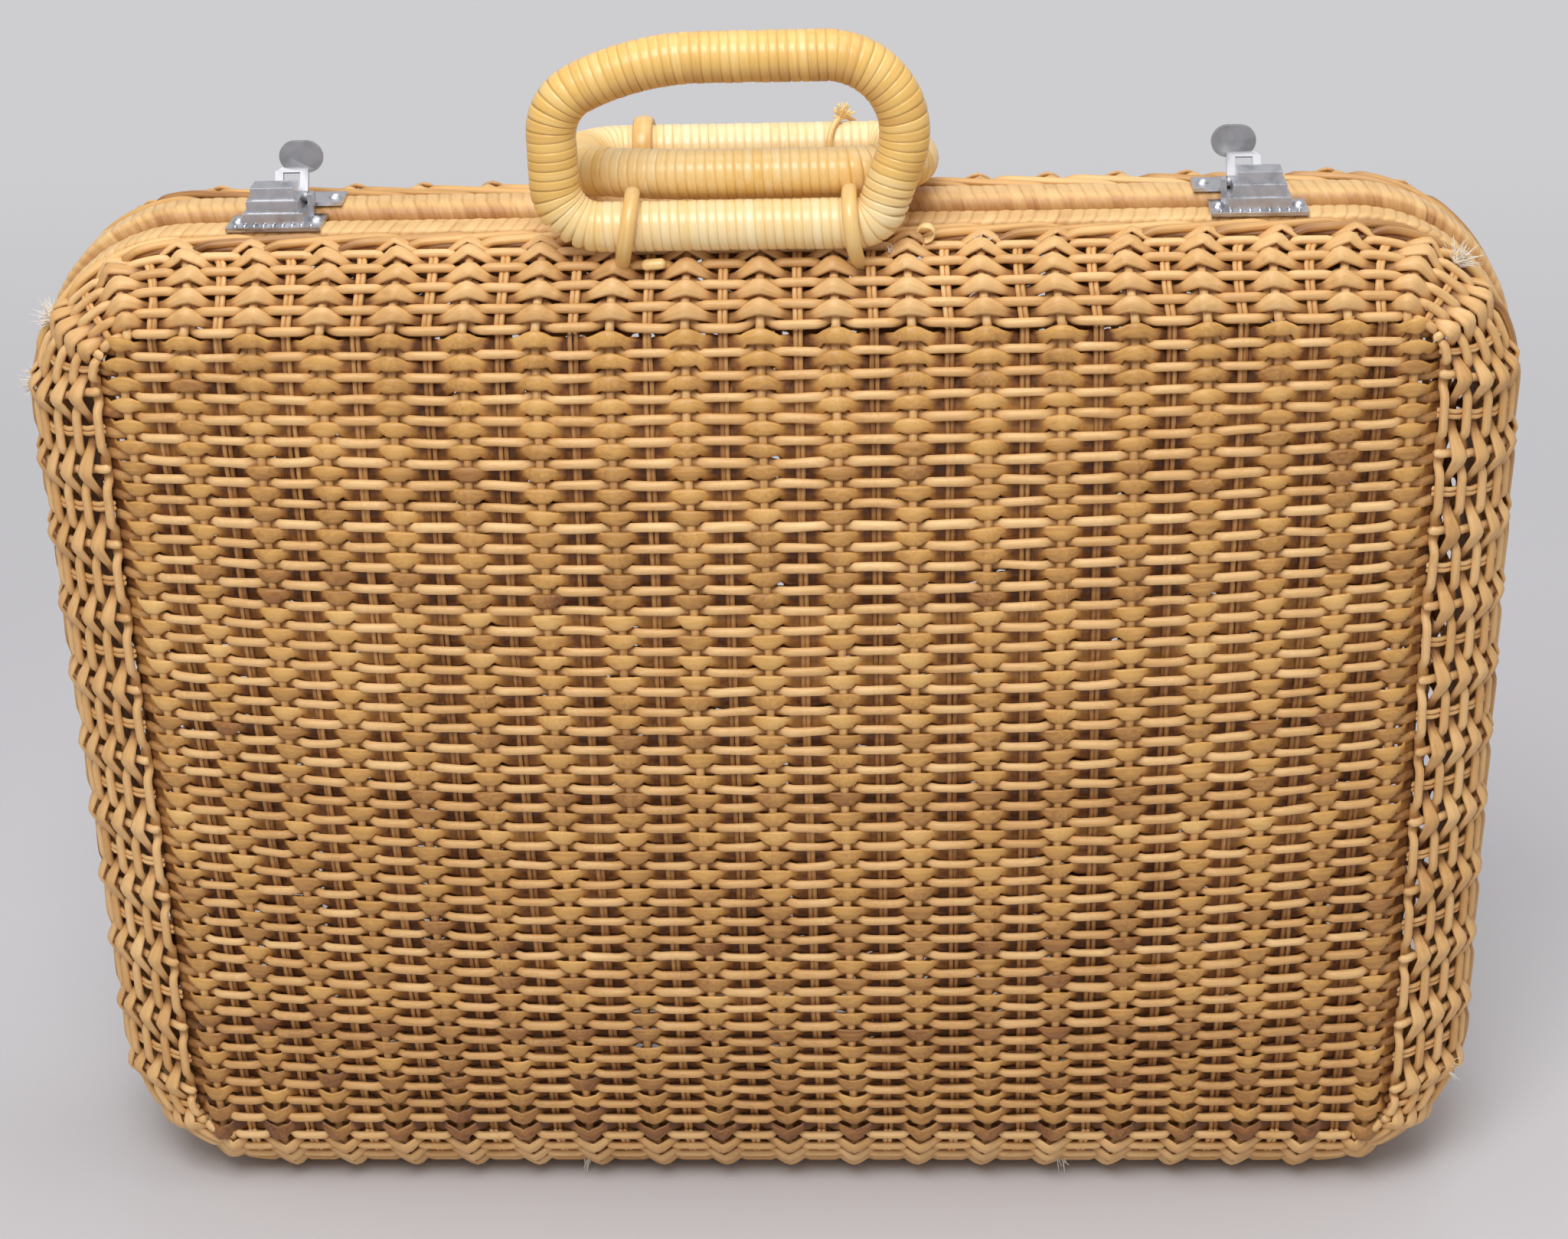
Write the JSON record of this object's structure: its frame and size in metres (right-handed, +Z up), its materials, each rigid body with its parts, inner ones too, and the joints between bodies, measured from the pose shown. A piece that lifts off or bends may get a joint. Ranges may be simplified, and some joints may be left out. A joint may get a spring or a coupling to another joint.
{
  "type": "wicker suitcase",
  "caption": "Upright hard case of woven rattan, its halves hinged along the bottom, with bound rims, cane ring handles and bright metal hasp latches.",
  "frame": {"origin": "on the floor under the middle of the closed case, in the plane where the two rims meet", "axes": "+X along the case to the right as seen from the front half, +Y from the front half to the back half, +Z up"},
  "size_m": [0.443, 0.12, 0.3808],
  "materials": {
    "weave": "woven peeled rattan, straw brown with a soft sheen",
    "border_cane": "braided round rattan, honey brown",
    "rim_cane": "flat cane binding wound edge to edge",
    "core_rod": "plain rattan rod, hidden by the binding",
    "tie_cane": "bent round cane",
    "handle_cane": "glossy flat cane binding, pale yellow",
    "latch_metal": "plated sheet steel, slightly worn",
    "hinge_metal": "plain bright steel"
  },
  "bodies": {
    "front_half": {"front_shell": "weave", "front_border": "border_cane", "front_rim_core": "core_rod", "front_rim_binding": "rim_cane", "front_handle_ties": "tie_cane", "latch_plate_left": "latch_metal", "latch_plate_right": "latch_metal", "latch_housing_left": "latch_metal", "latch_housing_right": "latch_metal", "latch_pin_left": "latch_metal", "latch_pin_right": "latch_metal", "latch_rivets": "latch_metal", "hinge_front_leaf_left": "hinge_metal", "hinge_front_leaf_right": "hinge_metal", "hinge_pin_left": "hinge_metal", "hinge_pin_right": "hinge_metal", "hinge_rivets_front": "hinge_metal"},
    "back_half": {"back_shell": "weave", "back_border": "border_cane", "back_rim_core": "core_rod", "back_rim_binding": "rim_cane", "back_handle_ties": "tie_cane", "catch_plate_left": "latch_metal", "catch_plate_right": "latch_metal", "catch_rivets": "latch_metal", "hinge_back_leaf_left": "hinge_metal", "hinge_back_leaf_right": "hinge_metal", "hinge_rivets_back": "hinge_metal"},
    "front_handle": {"front_handle_rod": "core_rod", "front_handle_binding": "handle_cane"},
    "back_handle": {"back_handle_rod": "core_rod", "back_handle_binding": "handle_cane"},
    "left_hasp": {"hasp_left": "latch_metal"},
    "right_hasp": {"hasp_right": "latch_metal"}
  },
  "joints": [
    {"name": "lid_hinge", "type": "hinge", "parent": "front_half", "child": "back_half", "pos_m": [0, 0, 0.002], "axis": [1, 0, 0], "range_deg": [-100, 0]},
    {"name": "front_handle_swing", "type": "hinge", "parent": "front_half", "child": "front_handle", "pos_m": [0, -0.03, 0.325], "axis": [1, 0, 0], "range_deg": [0, 95]},
    {"name": "back_handle_swing", "type": "hinge", "parent": "back_half", "child": "back_handle", "pos_m": [0, 0.033, 0.32975], "axis": [1, 0, 0], "range_deg": [-160, 0]},
    {"name": "left_hasp_swing", "type": "hinge", "parent": "front_half", "child": "left_hasp", "pos_m": [-0.14, 0, 0.3263], "axis": [1, 0, 0], "range_deg": [-55, 0]},
    {"name": "right_hasp_swing", "type": "hinge", "parent": "front_half", "child": "right_hasp", "pos_m": [0.14, 0, 0.3263], "axis": [1, 0, 0], "range_deg": [-55, 0]}
  ]
}
